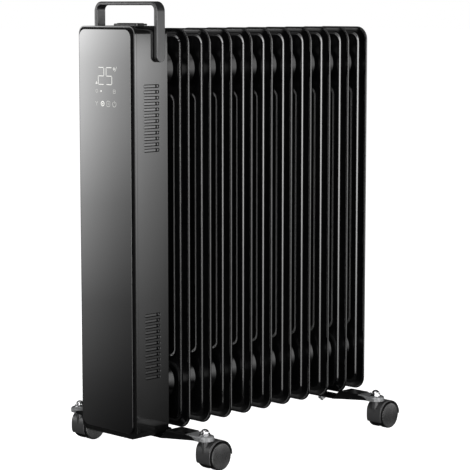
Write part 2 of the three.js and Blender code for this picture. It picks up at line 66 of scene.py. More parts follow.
# ---------------------------------------------------------------- camera
def make_camera():
    yaw, pitch = math.radians(44.5), math.radians(7.1)
    data = bpy.data.cameras.new("camera")
    data.sensor_width = 36
    data.lens = 140.4
    camera = bpy.data.objects.new("camera", data)
    camera.location = (1.9267, -1.9567, 0.6476)
    camera.rotation_euler = Euler((math.pi / 2 - pitch, 0, yaw))
    bpy.context.scene.collection.objects.link(camera)
    bpy.context.scene.camera = camera


make_camera()


# ---------------------------------------------------------------- materials
def blank_look(name):
    """A new material, with its nodes and its links."""
    made = bpy.data.materials.new(name)
    made.use_nodes = True
    return made, made.node_tree.nodes, made.node_tree.links


def fill_ramp(ramp, stops, low, high):
    """Grey stops for a colour ramp: (place between low and high, level) pairs."""
    while len(ramp.color_ramp.elements) < len(stops):
        ramp.color_ramp.elements.new(0.5)
    for element, (at, level) in zip(ramp.color_ramp.elements, stops):
        element.position = (at - low) / (high - low)
        element.color = (level, level, level, 1)


def material(name, color, roughness, metallic=0.0, ior=1.5, spread=0.0, rough_spread=0.0, grain=900.0,
             bump=0.0, bump_grain=2000.0, stretch=(1, 1, 1)):
    """A principled material whose colour, gloss and surface vary with the piece's own coordinates.

    grain and bump_grain are noise frequencies in cells per metre, spread and rough_spread how far
    colour and roughness move to each side.
    """
    made, nodes, links = blank_look(name)
    shader = nodes["Principled BSDF"]
    shader.inputs["Metallic"].default_value = metallic
    shader.inputs["IOR"].default_value = ior
    place = nodes.new("ShaderNodeTexCoord")
    mapping = nodes.new("ShaderNodeMapping")
    mapping.inputs["Scale"].default_value = stretch
    links.new(place.outputs["Object"], mapping.inputs["Vector"])

    def noise(scale, detail):
        node = nodes.new("ShaderNodeTexNoise")
        node.inputs["Scale"].default_value = scale
        node.inputs["Detail"].default_value = detail
        links.new(mapping.outputs["Vector"], node.inputs["Vector"])
        return node.outputs["Fac"]

    def spread_to(socket, low, high):
        node = nodes.new("ShaderNodeMapRange")
        node.inputs["From Min"].default_value = 0.3
        node.inputs["From Max"].default_value = 0.7
        node.inputs["To Min"].default_value = low
        node.inputs["To Max"].default_value = high
        links.new(socket, node.inputs["Value"])
        return node.outputs["Result"]

    tint = nodes.new("ShaderNodeMix")
    tint.data_type = "RGBA"
    tint.inputs["A"].default_value = (*[c * (1 - spread) for c in color], 1)
    tint.inputs["B"].default_value = (*[min(1, c * (1 + spread)) for c in color], 1)
    links.new(spread_to(noise(grain, 3), 0, 1), tint.inputs["Factor"])
    links.new(tint.outputs["Result"], shader.inputs["Base Color"])
    rough = spread_to(noise(grain * 0.37, 4), roughness - rough_spread, roughness + rough_spread)
    links.new(rough, shader.inputs["Roughness"])
    if bump:
        relief = nodes.new("ShaderNodeBump")
        relief.inputs["Strength"].default_value = 1
        relief.inputs["Distance"].default_value = bump * MM
        links.new(noise(bump_grain, 2), relief.inputs["Height"])
        links.new(relief.outputs["Normal"], shader.inputs["Normal"])
    return made


def glowing(name, color, strength):
    """The display's light: a lit ink that is a little uneven from one place to the next."""
    made = material(name, [c * 0.1 for c in color], 0.4, spread=0.04, grain=300)
    shader = made.node_tree.nodes["Principled BSDF"]
    shader.inputs["Emission Color"].default_value = (*color, 1)
    shader.inputs["Emission Strength"].default_value = strength
    return made


ENAMEL = material("black_enamel", (0.0022, 0.0022, 0.0024), 0.13, ior=1.85, spread=0.25, rough_spread=0.025,
                  grain=60, bump=0.002, bump_grain=500)
GLOSS = material("gloss_casing", (0.004, 0.004, 0.004), 0.10, ior=1.9, spread=0.15, rough_spread=0.012,
                 grain=40, bump=0.0006, bump_grain=400)
GLASS = material("black_glass", (0.003, 0.003, 0.0033), 0.045, ior=2.3, spread=0.1, rough_spread=0.008,
                 grain=20)
FOOT_PAINT = material("foot_paint", (0.003, 0.003, 0.0032), 0.30, ior=1.4, spread=0.2, rough_spread=0.03,
                      grain=80, bump=0.003, bump_grain=700)
SATIN = material("satin_plastic", (0.012, 0.012, 0.0125), 0.32, ior=2.05, spread=0.12, rough_spread=0.04,
                 grain=500, bump=0.012, bump_grain=2600)
FENDER = material("fender_plastic", (0.05, 0.05, 0.051), 0.34, ior=1.85, spread=0.08, rough_spread=0.04,
                  grain=500, bump=0.01, bump_grain=2600)
WHEEL = material("wheel_plastic", (0.03, 0.03, 0.031), 0.36, spread=0.15, rough_spread=0.05, grain=400,
                 bump=0.008, bump_grain=1800)
RUBBER = material("tyre_nylon", (0.003, 0.003, 0.003), 0.55, ior=1.3, spread=0.2, rough_spread=0.06,
                  grain=500, bump=0.01, bump_grain=1500)
DISC = material("wheel_disc", (0.009, 0.009, 0.0093), 0.27, ior=2.15, spread=0.08, rough_spread=0.015,
                grain=500, bump=0.008, bump_grain=2200)
ZINC = material("zinc_plate", (0.32, 0.325, 0.33), 0.38, metallic=0.42, spread=0.18, rough_spread=0.08,
                grain=260, bump=0.02, bump_grain=700)
CHROME = material("chrome_plate", (0.80, 0.80, 0.81), 0.09, metallic=1, spread=0.05, rough_spread=0.03,
                  grain=300)
STEEL = material("sheet_steel", (0.42, 0.43, 0.44), 0.35, metallic=1, spread=0.15, rough_spread=0.08,
                 grain=200, stretch=(1, 1, 8))
BOARD = material("circuit_board", (0.02, 0.11, 0.05), 0.5, spread=0.3, grain=400)
BAKELITE = material("bakelite", (0.68, 0.63, 0.52), 0.5, spread=0.08, grain=300)
LIT = glowing("display_lit", (0.9, 0.9, 0.86), 1.0)
DIM = glowing("display_dim", (0.5, 0.5, 0.48), 1.15)

SLOT_MATERIALS = {
    "black_enamel": ENAMEL, "gloss_casing": GLOSS, "black_glass": GLASS, "satin_plastic": SATIN,
    "wheel_plastic": WHEEL, "zinc": ZINC, "chrome": CHROME, "sheet_steel": STEEL, "circuit_board": BOARD,
    "bakelite": BAKELITE}
for entry in frame["record"]["subparts"]:
    cad_piece = frame["nodes"][entry["node"]]
    cad_piece.data.materials.clear()
    cad_piece.data.materials.append(SLOT_MATERIALS[entry["material_slot"]])


# ---------------------------------------------------------------- mesh helpers
def rounded(a0, a1, b0, b1, r, steps):
    """A rounded rectangle's points, anticlockwise from the lower right corner."""
    points = []
    corners = ((a1 - r, b0 + r, -90), (a1 - r, b1 - r, 0), (a0 + r, b1 - r, 90), (a0 + r, b0 + r, 180))
    for ca, cb, start in corners:
        for k in range(steps + 1):
            angle = math.radians(start + 90 * k / steps)
            points.append((ca + r * math.cos(angle), cb + r * math.sin(angle)))
    return points


def circle(r, sides):
    turn = [2 * math.pi * k / sides for k in range(sides)]
    return [(r * math.cos(a), r * math.sin(a)) for a in turn]


def inside(point, outline):
    """True where a point is inside a closed outline."""
    x, y = point
    hit = False
    for (x0, y0), (x1, y1) in zip(outline, outline[1:] + outline[:1]):
        if (y0 > y) != (y1 > y) and x < x0 + (y - y0) * (x1 - x0) / (y1 - y0):
            hit = not hit
    return hit


class Surface:
    """Points in millimetres and the faces between them."""

    def __init__(self):
        self.points = []
        self.faces = []

    def ring(self, points):
        first = len(self.points)
        self.points += [tuple(p) for p in points]
        return list(range(first, len(self.points)))

    def strip(self, a, b, closed=True, skip=()):
        """Quads between two rings of the same length. skip leaves out the quads at those places."""
        count = len(a) if closed else len(a) - 1
        for i in range(count):
            if i not in skip:
                j = (i + 1) % len(a)
                self.faces.append((a[i], a[j], b[j], b[i]))

    def wall(self, rings, around=False):
        """Strips from each ring to the next, and from the last to the first where around is set."""
        for a, b in zip(rings, rings[1:] + rings[:1] if around else rings[1:]):
            self.strip(a, b)

    def loft(self, rings):
        """A closed form through rings of points, with a face on each end."""
        made = [self.ring(r) for r in rings]
        self.wall(made)
        self.faces.append(tuple(reversed(made[0])))
        self.faces.append(tuple(made[-1]))

    def panel(self, outline, holes, place):
        """A flat area with holes, its 2-D points set in space by place."""
        loops = [outline, *holes]
        flat = [Vector(p) for loop in loops for p in loop]
        edges = []
        first = 0
        for loop in loops:
            edges += [(first + k, first + (k + 1) % len(loop)) for k in range(len(loop))]
            first += len(loop)
        verts, _, faces, *_ = delaunay_2d_cdt(flat, edges, [], 1, 1e-5)
        ids = self.ring([place(*v) for v in verts])
        for face in faces:
            middle = sum((verts[k] for k in face), Vector((0, 0))) / len(face)
            if inside(middle, outline) and not any(inside(middle, h) for h in holes):
                self.faces.append(tuple(ids[k] for k in face))

    def turned(self, profile, sides, place):
        """A turned surface from (radius, distance) pairs. place(u, v, t) sets a point.

        A radius of 0 closes it.
        """
        rings = []
        for r, t in profile:
            if r <= 0:
                rings.append(self.ring([place(0, 0, t)]))
            else:
                rings.append(self.ring([place(u, v, t) for u, v in circle(r, sides)]))
        for a, b in zip(rings, rings[1:]):
            if len(a) == 1 and len(b) == 1:
                continue
            if len(a) == 1:
                self.faces += [(a[0], b[(i + 1) % sides], b[i]) for i in range(sides)]
            elif len(b) == 1:
                self.faces += [(a[i], a[(i + 1) % sides], b[0]) for i in range(sides)]
            else:
                self.strip(a, b)

    def swept(self, path, section, side):
        """A tube along path. section is in 2-D; side is a direction that stays across the path."""
        rings = []
        side = Vector(side).normalized()
        for k, p in enumerate(path):
            ahead = Vector(path[min(k + 1, len(path) - 1)]) - Vector(path[max(k - 1, 0)])
            up = side.cross(ahead.normalized()).normalized()
            rings.append([Vector(p) + side * a + up * b for a, b in section])
        self.loft(rings)


def finished(name, surface, look, body=HEATER, stands_for=None, angle=32):
    """The surface as a piece of its own: welded, facing out, smooth between edges, riding on a body."""
    mesh = bpy.data.meshes.new(name)
    mesh.from_pydata([Vector(p) * MM for p in surface.points], [], surface.faces)
    work = bmesh.new()
    work.from_mesh(mesh)
    bmesh.ops.remove_doubles(work, verts=work.verts, dist=1e-6)
    bmesh.ops.dissolve_degenerate(work, edges=work.edges, dist=1e-7)
    bmesh.ops.recalc_face_normals(work, faces=work.faces)
    work.to_mesh(mesh)
    work.free()
    mesh.polygons.foreach_set("use_smooth", [True] * len(mesh.polygons))
    mesh.set_sharp_from_angle(angle=math.radians(angle))
    mesh.materials.append(look)
    piece = bpy.data.objects.new(name, mesh)
    bpy.context.scene.collection.objects.link(piece)
    weight = piece.modifiers.new("flats", "WEIGHTED_NORMAL")
    weight.keep_sharp = True
    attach(piece, body)
    if stands_for:
        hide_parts(stands_for)


def along_x(x0=0, y0=0, z0=0):
    return lambda u, v, t: (x0 + t, y0 + u, z0 + v)


def along_y(x0=0, y0=0, z0=0):
    return lambda u, v, t: (x0 + u, y0 + t, z0 + v)


def along_z(x0=0, y0=0, z0=0):
    return lambda u, v, t: (x0 + u, y0 + v, z0 + t)


# ---------------------------------------------------------------- fins
FIN_COUNT = sum(name.startswith("fin_") for name in frame["nodes"])
fin_low, fin_high = box_mm("fin_02")
FIN_HALF = fin_high.x
FIN_BOTTOM, FIN_TOP = fin_low.z, fin_high.z
second, third = ((box_mm(name)[0].y + box_mm(name)[1].y) / 2 for name in ("fin_02", "fin_03"))
FIN_PITCH = third - second
HEADERS = (FIN_BOTTOM + 65.5, FIN_TOP - 57.5)
OUTER_CORNER, BEAD_CORNER = 20, 14
BEAD_SIDE, BEAD_END = 17, 10.5
CHANNEL = 4.5
# The sunk web's half width, bottom and top, and its ridge's half width and gap to the web's ends.
WEB = (29.5, 141.5, 525)
RIDGE = (8, 26)

# From the hem inwards: inset from the side edge and half the fin's thickness there.
FIN_PROFILE = (
    (0, 0), (0.12, 0.62), (0.45, 1.12), (1.0, 1.45), (1.7, 1.55), (2.4, 1.4), (2.9, 1.1), (3.3, 0.9),
    (3.9, 0.82), (9.0, 1.05), (12.4, 1.45), (13.6, 1.72), (14.4, 2.08), (15.1, 2.55), (16.1, 3.39),
    (16.8, 3.86), (17.6, 4.2), (18.6, 4.42), (19.2, CHANNEL))
WEB_PROFILE = ((-0.7, CHANNEL), (0, CHANNEL), (0.8, 4.3), (1.6, 3.8), (2.8, 2.8), (3.8, 2.0), (4.8, 1.5),
               (6.0, 1.3), (7.0, 1.3))
RIDGE_PROFILE = ((0, 1.3), (0.6, 1.5), (1.6, 2.3), (2.6, 2.9), (3.6, 3.1), (4.4, 3.1))
HUB_DOME = ((32, CHANNEL), (31, CHANNEL), (27.4, 4.75), (26.3, 6.1), (25.2, 7.5), (24.1, 8.9), (23.0, 10.4),
            (22.0, 12.0), (21.1, 13.7), (20.3, 15.7), (19.7, 17.8), (19.4, 19.8), (19.3, 21.35), (0, 21.35))
END_DOME = ((32, CHANNEL), (31, CHANNEL), (30.4, 5.4), (29.2, 6.7), (27.4, 8.1), (25.2, 9.3), (23, 10.1),
            (21, 10.45), (18.6, 10.4), (17.6, 9.6), (16.8, 9.2), (9, 9.2), (8, 9.2), (0, 9.2))
NECK = ((32, CHANNEL), (31, CHANNEL), (29, 6.6), (17, 6.9), (17, 9.2), (0, 9.2))


def fin_ring(inset):
    """The fin's outline drawn in towards its bead."""
    share = inset / BEAD_SIDE
    r = OUTER_CORNER + (BEAD_CORNER - OUTER_CORNER) * share
    return rounded(-FIN_HALF + inset, FIN_HALF - inset, FIN_BOTTOM + BEAD_END * share,
                   FIN_TOP - BEAD_END * share, r, 8)


def web_ring(inset):
    half, low, high = WEB
    return rounded(-half + inset, half - inset, low + inset, high - inset, 13 - inset, 5)


def ridge_ring(inset):
    _, low, high = WEB
    half, gap = RIDGE
    return rounded(-half + inset, half - inset, low + gap + inset, high - gap - inset, half - inset, 4)


def fin_face(surface, y, side, hub):
    """One of the two pressed sheets of a fin, towards side, with hub's profile round each header."""
    at = lambda depth: (lambda x, z: (x, y + side * depth, z))
    surface.wall([surface.ring([at(depth)(*p) for p in fin_ring(inset)]) for inset, depth in FIN_PROFILE])
    hubs = [[(x, z + header) for x, z in circle(hub[0][0], 40)] for header in HEADERS]
    surface.panel(fin_ring(FIN_PROFILE[-1][0]), [web_ring(WEB_PROFILE[0][0]), *hubs], at(CHANNEL))
    surface.wall([surface.ring([at(depth)(*p) for p in web_ring(inset)]) for inset, depth in WEB_PROFILE])
    surface.panel(web_ring(WEB_PROFILE[-1][0]), [ridge_ring(RIDGE_PROFILE[0][0])], at(WEB_PROFILE[-1][1]))
    ridge = [surface.ring([at(depth)(*p) for p in ridge_ring(inset)]) for inset, depth in RIDGE_PROFILE]
    surface.wall(ridge)
    surface.faces.append(tuple(ridge[-1]))
    for header in HEADERS:
        surface.turned(hub, 40, lambda u, v, t: (u, y + side * t, v + header))


def make_fins():
    for i in range(FIN_COUNT):
        node = "fin_%02d" % (i + 1)
        y = second + (i - 1) * FIN_PITCH
        surface = Surface()
        fin_face(surface, y, -1, NECK if i == 0 else HUB_DOME)
        fin_face(surface, y, 1, END_DOME if i == FIN_COUNT - 1 else HUB_DOME)
        finished("pressed_" + node, surface, ENAMEL, stands_for=node)


make_fins()


# ---------------------------------------------------------------- control casing
case_low, case_high = box_mm("casing_shell")
bezel_low, bezel_high = box_mm("front_bezel")
glass_low, glass_high = box_mm("glass_panel")
CASE = (case_low.x, case_high.x, case_low.z, case_high.z)
CASE_CORNER = 11
CASE_WALL = 2.5
FACE = glass_low.y
POCKET_FLOOR = bezel_low.y + 1.7
SLOT_Y = FACE + 34.5
SLOT_STARTS = (127.4, 449)
SLOT_COUNT, SLOT_PITCH, SLOT_LENGTH, SLOT_HEIGHT = 12, 8.1, 29, 4.2
# The hole in each side that the handle's peg goes into: its Y, Z and radius.
PEG_HOLE = (FACE + 47, 582, 4.3)
SLOT_LEVELS = [start + k * SLOT_PITCH for start in SLOT_STARTS for k in range(SLOT_COUNT)]


def case_ring(d, y):
    x0, x1, z0, z1 = CASE
    return [(x, y, z) for x, z in rounded(x0 + d, x1 - d, z0 + d, z1 - d, CASE_CORNER - d, 8)]


def slot_outline(z, d=0.0):
    half, tall = SLOT_LENGTH / 2 - d, SLOT_HEIGHT / 2 - d
    return rounded(SLOT_Y - half, SLOT_Y + half, z - tall, z + tall, tall * 0.98, 4)


def make_shell():
    surface = Surface()
    front, rear = case_low.y, case_high.y
    edge = 0.08
    outer = [surface.ring(case_ring(d, y)) for d, y in (
        (edge, front), (edge * 0.3, front + edge * 0.3), (0, front + edge), (0, rear - edge),
        (edge * 0.3, rear - edge * 0.3), (edge, rear))]
    inner = [surface.ring(case_ring(CASE_WALL, y)) for y in (front, front + 1, rear - 1, rear)]
    # The tall sides' quads, between corners of nine points each: the slotted panels stand there.
    tall_sides = (8, 26)
    for a, b in zip(outer, outer[1:]):
        surface.strip(a, b, skip=tall_sides if a is outer[2] else ())
    for a, b in zip(inner, inner[1:]):
        surface.strip(a, b, skip=tall_sides if a is inner[1] else ())
    surface.strip(outer[0], inner[0])
    surface.strip(outer[-1], inner[-1])
    x0, x1, z0, z1 = CASE
    low, high = z0 + CASE_CORNER, z1 - CASE_CORNER
    outside, within = ([(front + e, low), (rear - e, low), (rear - e, high), (front + e, high)]
                       for e in (edge, 1))
    lip = 0.5
    peg_hole = [(PEG_HOLE[0] + u, PEG_HOLE[1] + v) for u, v in circle(PEG_HOLE[2], 16)]
    mouths = [slot_outline(z, -lip) for z in SLOT_LEVELS]
    slots = [slot_outline(z) for z in SLOT_LEVELS]
    for side, x in ((-1, x0), (1, x1)):
        wall = x - side * CASE_WALL
        surface.panel(outside, [peg_hole, *mouths], lambda y, z: (x, y, z))
        surface.panel(within, [peg_hole, *slots], lambda y, z: (wall, y, z))
        for wide, tight in zip([*mouths, peg_hole], [*slots, peg_hole]):
            surface.wall([surface.ring([(x, *p) for p in wide]),
                          surface.ring([(x - side * lip, *p) for p in tight]),
                          surface.ring([(wall, *p) for p in tight])])
    finished("casing", surface, GLOSS, stands_for="casing_shell", angle=28)


def make_louvres():
    """Two slanted blades in each slot, with an air gap round them.

    The left side's short blades are at the other end of their slots, so that no line of sight
    goes through both sides.
    """
    lean = 0.03
    for name, side, air in (("left", -1, 0.25), ("right", 1, 0.55)):
        x = side * (CASE[1] - 1.1)
        surface = Surface()
        for z in SLOT_LEVELS:
            tall, half = SLOT_HEIGHT / 2 - air, SLOT_LENGTH / 2 - 0.9
            outlines = [rounded(min(a * side, b * side), max(a * side, b * side), -tall, tall, tall * 0.6, 4)
                        for a, b in ((-half, half * 0.62), (half * 0.8, half))]
            for outline in outlines:
                surface.loft([[(x - side * (v * k * lean + depth), SLOT_Y + u, z + v * k) for u, v in outline]
                              for depth, k in ((0, 0.93), (0.15, 1), (1.0, 1))])
        finished("louvre_blades_" + name, surface, GLOSS, angle=40)


def make_bezel():
    """A frame round the glass, with a pocket that the glass lies in."""
    surface = Surface()
    front, rear = bezel_low.y, bezel_high.y
    x0, x1, z0, z1 = glass_low.x - 1, glass_high.x + 1, glass_low.z - 1, glass_high.z + 1

    def pocket(d, y):
        return [(x, y, z) for x, z in rounded(x0 - d, x1 + d, z0 - d, z1 + d, 12 + d, 8)]

    opening = 14
    rings = [case_ring(0.05, rear), case_ring(0, rear - 0.05), case_ring(0, front + 0.12),
             case_ring(0.04, front + 0.04), case_ring(0.12, front), case_ring(1.6, front),
             case_ring(1.75, front + 0.12), case_ring(1.85, POCKET_FLOOR), pocket(-opening, POCKET_FLOOR)]
    made = [surface.ring(r) for r in rings]
    surface.wall(made)
    back = surface.ring([(x, rear, z) for x, _, z in pocket(-opening, POCKET_FLOOR)])
    surface.strip(made[-1], back)
    surface.strip(back, made[0])
    finished("bezel", surface, GLOSS, stands_for="front_bezel", angle=28)


def make_gasket():
    """A matte strip in the groove between the glass and the bezel."""
    surface = Surface()
    air, face, rear = 0.05, POCKET_FLOOR - 0.9, POCKET_FLOOR - 0.1

    def edge_ring(y):
        return [(x, y, z) for x, z in rounded(glass_low.x - air, glass_high.x + air, glass_low.z - air,
                                              glass_high.z + air, CASE_CORNER, 8)]

    surface.wall([surface.ring(r) for r in (case_ring(1.9, face), edge_ring(face), edge_ring(rear),
                                            case_ring(1.9, rear))], around=True)
    finished("glass_gasket", surface, RUBBER, angle=28)


def make_glass():
    surface = Surface()
    front, rear = glass_low.y, glass_high.y
    x0, x1, z0, z1 = glass_low.x, glass_high.x, glass_low.z, glass_high.z

    def ring(d, y):
        return [(x, y, z) for x, z in rounded(x0 + d, x1 - d, z0 + d, z1 - d, CASE_CORNER - d, 8)]

    surface.loft([ring(0.3, front), ring(0.12, front + 0.05), ring(0.04, front + 0.12), ring(0, front + 0.25),
                  ring(0, rear - 0.3), ring(0.3, rear)])
    finished("glass", surface, GLASS, stands_for="glass_panel", angle=25)


# ---------------------------------------------------------------- display
# Strokes in millimetres from the display's middle, seen from the panel. Each is a line with a width.
DISPLAY = (1.0, 537.5)
DIGIT = (11.8, 23.6, 1.05)
SEGMENTS = {"top": ((0, 1), (1, 1)), "middle": ((0, 0.5), (1, 0.5)), "bottom": ((0, 0), (1, 0)),
            "upper_left": ((0, 1), (0, 0.5)), "upper_right": ((1, 1), (1, 0.5)),
            "lower_left": ((0, 0.5), (0, 0)), "lower_right": ((1, 0.5), (1, 0))}
TWO = ("top", "upper_right", "middle", "lower_left", "bottom")
FIVE = ("top", "upper_left", "middle", "lower_right", "bottom")


def stroke(surface, points, width, closed=False):
    """A thin printed line through 2-D points, with mitred corners, just off the glass."""
    count = len(points)
    left, right = [], []
    for k, p in enumerate(points):
        before = points[k - 1] if closed or k else points[k]
        after = points[(k + 1) % count] if closed or k < count - 1 else points[k]
        a = Vector(p) - Vector(before)
        b = Vector(after) - Vector(p)
        a, b = (a if a.length else b).normalized(), (b if b.length else a).normalized()
        middle = (a + b).normalized()
        reach = width / 2 / max(0.5, middle.dot(a))
        across = Vector((-middle.y, middle.x)) * reach
        left.append((p[0] + across.x, p[1] + across.y))
        right.append((p[0] - across.x, p[1] - across.y))
    place = lambda q, depth: (DISPLAY[0] + q[0], FACE - depth, DISPLAY[1] + q[1])
    top = [surface.ring([place(q, 0.06) for q in line]) for line in (left, right)]
    low = [surface.ring([place(q, -0.05) for q in line]) for line in (left, right)]
    surface.strip(top[0], top[1], closed)
    surface.strip(low[0], low[1], closed)
    surface.strip(top[0], low[0], closed)
    surface.strip(top[1], low[1], closed)
    if not closed:
        for k in (0, -1):
            surface.faces.append((top[0][k], top[1][k], low[1][k], low[0][k]))


def digit(surface, x, z, segments):
    wide, tall, width = DIGIT
    gap = 0.055
    for name in segments:
        (u0, v0), (u1, v1) = SEGMENTS[name]
        du, dv = (u1 - u0) * gap, (v1 - v0) * gap
        stroke(surface, [(x + (u0 + du) * wide, z + (v0 + dv) * tall),
                         (x + (u1 - du) * wide, z + (v1 - dv) * tall)], width)


def ring_of(x, z, r, sides=20, start=0.0, turn=1.0):
    count = sides if turn == 1 else sides + 1
    angles = [start + 2 * math.pi * turn * k / sides for k in range(count)]
    return [(x + r * math.sin(a), z + r * math.cos(a)) for a in angles]


def make_display():
    lit, dim = Surface(), Surface()
    digit(lit, -14.4, 2.4, TWO)
    digit(lit, 2.2, 2.4, FIVE)
    stroke(lit, [(-19.5, 3.5), (-18.2, 5.7), (-16.9, 3.5)], 1.1, closed=True)
    stroke(lit, ring_of(18.6, 24.4, 1.5), 0.8, closed=True)
    stroke(lit, [(20.5, 20.6), (24.0, 27.4)], 0.6)
    stroke(lit, ring_of(-8.7, -7.0, 0.7), 1.3, closed=True)
    stroke(lit, ring_of(-5.6, -24.4, 3.1), 1.3, closed=True)
    stroke(lit, ring_of(-5.6, -24.4, 0.6), 1.0, closed=True)
    stroke(dim, ring_of(-17.6, -7.0, 2.2), 0.7, closed=True)
    for row in (-9.3, -7.0, -4.7):
        stroke(dim, [(16.4, row), (21.4, row)], 0.6)
    for column in (16.6, 21.2):
        stroke(dim, [(column, -9.3), (column, -4.7)], 0.6)
    stroke(dim, [(-18.2, -27.2), (-18.2, -24.3), (-20.8, -21.6)], 0.8)
    stroke(dim, [(-18.2, -24.3), (-15.6, -21.6)], 0.8)
    stroke(dim, rounded(3.2, 9.6, -28.2, -20.6, 1.6, 3), 0.7, closed=True)
    stroke(dim, [(6.4, -26.4), (6.4, -22.4)], 0.7)
    stroke(dim, ring_of(18.9, -24.6, 3.7, 16, math.pi * 0.22, 0.78), 0.8)
    stroke(dim, [(18.9, -23.4), (18.9, -19.8)], 0.8)
    finished("display_lit_marks", lit, LIT)
    finished("display_dim_marks", dim, DIM)


make_shell()
make_louvres()
make_bezel()
make_gasket()
make_glass()
make_display()


# ---------------------------------------------------------------- handle and button
handle_low, handle_high = box_mm("handle")


def make_handle():
    """A strap bent over the casing, with round ends on its sides."""
    outer, top = handle_high.x, handle_high.z
    middle_y = (handle_low.y + handle_high.y) / 2
    round_end = (handle_high.y - handle_low.y) / 2
    leg_low = handle_low.z + round_end
    thick, top_thick, corner = 6.7, 5.4, 14
    inner = outer - thick
    stations = []
    for k in range(9):
        angle = math.radians(90 * k / 8)
        z = leg_low - round_end * math.cos(angle) * 0.998
        width = max(0.3, round_end * math.sin(angle)) if k < 8 else round_end
        stations.append(((outer, z), (inner, z), width))
    for k in range(11):
        angle = math.radians(90 * k / 10)
        out = (outer - corner + corner * math.cos(angle), top - corner + corner * math.sin(angle))
        inner_r = corner - thick
        hold = (inner - inner_r + inner_r * math.cos(angle),
                top - top_thick - inner_r + inner_r * math.sin(angle))
        stations.append((out, hold, round_end))
    stations += [((-a[0], a[1]), (-b[0], b[1]), w) for a, b, w in reversed(stations)]
    rings = []
    for out, hold, width in stations:
        a, b = Vector(hold), Vector(out)
        size = (b - a).length
        r = min(1.5, width * 0.7)
        ring = rounded(0, size, -width, width, r, 4)
        direction = (b - a).normalized()
        rings.append([(a.x + direction.x * s, middle_y + t, a.y + direction.y * s) for s, t in ring])
    surface = Surface()
    surface.loft(rings)
    finished("handle_strap", surface, SATIN, stands_for="handle", angle=40)


def make_button():
    low, high = box_mm("power_button_surround")
    cap_low, cap_high = box_mm("power_button")
    surface = Surface()
    seat, gap, corner, cap_corner = CASE[3], 0.45, 3.2, 2.2

    def rim(d, z):
        return [(x, y, z) for x, y in rounded(low.x + d, high.x - d, low.y + d, high.y - d, corner - d, 5)]

    def well(d, z):
        """The opening that the cap goes down in."""
        return [(x, y, z) for x, y in rounded(
            cap_low.x - gap - d, cap_high.x + gap + d, cap_low.y - gap - d, cap_high.y + gap + d,
            cap_corner + d, 5)]

    made = [surface.ring(r) for r in (
        rim(0, seat + 0.3), rim(0, high.z - 0.9), rim(0.25, high.z - 0.35), rim(0.9, high.z),
        well(0.35, high.z), well(0.1, high.z - 0.1), well(0, high.z - 0.4), well(0, seat + 0.3))]
    surface.wall(made, around=True)
    finished("button_surround", surface, SATIN, stands_for="power_button_surround",
             angle=35)
    cap = Surface()

    def cap_ring(d, z):
        return [(x, y, z) for x, y in rounded(cap_low.x + d, cap_high.x - d, cap_low.y + d, cap_high.y - d,
                                              cap_corner - d, 5)]

    cap.loft([cap_ring(0, seat - 3), cap_ring(0, cap_high.z - 0.8), cap_ring(0.2, cap_high.z - 0.3),
              cap_ring(0.8, cap_high.z - 0.05), cap_ring(1.6, cap_high.z)])
    finished("button_cap", cap, SATIN, body="push_button", stands_for="power_button",
             angle=35)


make_handle()
make_button()


# ---------------------------------------------------------------- feet and header straps
def make_foot(row):
    """A folded steel channel: flat under the fins, stepping up into an arm on each side."""
    low, high = box_mm(row + "_foot")
    half = 15.5
    middle = low.y + half
    steel, bend = 2.0, 2.6
    flat = low.z + steel
    # Stations from the middle out: how far, the top's height and how far the flanges' edge has risen.
    line = ((0, flat, 0), (56, flat, 0), (60, flat + 0.3, 0), (62.5, flat + 2.2, 0.1), (68, flat + 9.2, 0.9),
            (70, flat + 11.2, 1.2), (73, high.z, 1.6), (88, high.z, 3.2), (107, high.z, 5.3))
    # The flanges run on past the top as two cheeks: how far, their edge and their top.
    cheek = ((110, 43.3, 50.8), (116, 44.0, 50.4), (121, 44.5, 49.2), (125, 45.0, 47.4), (126, 45.5, 46.4))

    def section(x, top, keel):
        height = top - keel
        r = min(bend, height - 0.1)
        hold = min(r - steel if r > steel else 0.0, height - steel)
        outside = [(-half, keel)]
        outside += [(-half + r - r * math.cos(a), top - r + r * math.sin(a)) for a in
                    [math.pi / 2 * k / 5 for k in range(6)]]
        outside += [(-u, v) for u, v in reversed(outside)]
        wall = half - steel
        within = [(wall, keel)]
        within += [(wall - hold + hold * math.cos(a), top - steel - hold + hold * math.sin(a)) for a in
                   [math.pi / 2 * k / 3 for k in range(4)]]
        within += [(-u, v) for u, v in reversed(within)]
        return [(x, middle + u, v) for u, v in outside + within]

    stations = [(x, top, low.z + keel) for x, top, keel in line]
    stations = [(-x, t, k) for x, t, k in reversed(stations[1:])] + stations
    surface = Surface()
    rings = [surface.ring(section(*s)) for s in stations]
    surface.wall(rings)
    # A section's points 0 to 13 go over the outside from edge to edge, and 14 to 23 back inside.
    for end, side in ((rings[0], -1), (rings[-1], 1)):
        left = [end[0], end[1], end[22], end[23]]
        right = [end[13], end[12], end[15], end[14]]
        surface.faces.append(tuple(end[1:13] + end[15:23]))
        for flange in (left, right):
            outer_y, inner_y = surface.points[flange[0]][1], surface.points[flange[3]][1]
            before = flange
            for x, keel, top in cheek:
                ring = surface.ring([(side * x, outer_y, keel), (side * x, outer_y, top),
                                     (side * x, inner_y, top), (side * x, inner_y, keel)])
                surface.strip(before, ring)
                before = ring
            surface.faces.append(tuple(before))
    if high.y > middle + half + 1:
        reach = 32.4
        plate = rounded(-reach, reach, middle, high.y, 7, 5)
        surface.loft([[(x * k, y, z) for x, y in plate] for z, k in (
            (low.z + 0.05, 0.99), (low.z + 0.35, 1), (flat - 0.35, 1), (flat - 0.05, 0.99))])
    finished("folded_" + row + "_foot", surface, FOOT_PAINT, stands_for=row + "_foot",
             angle=30)


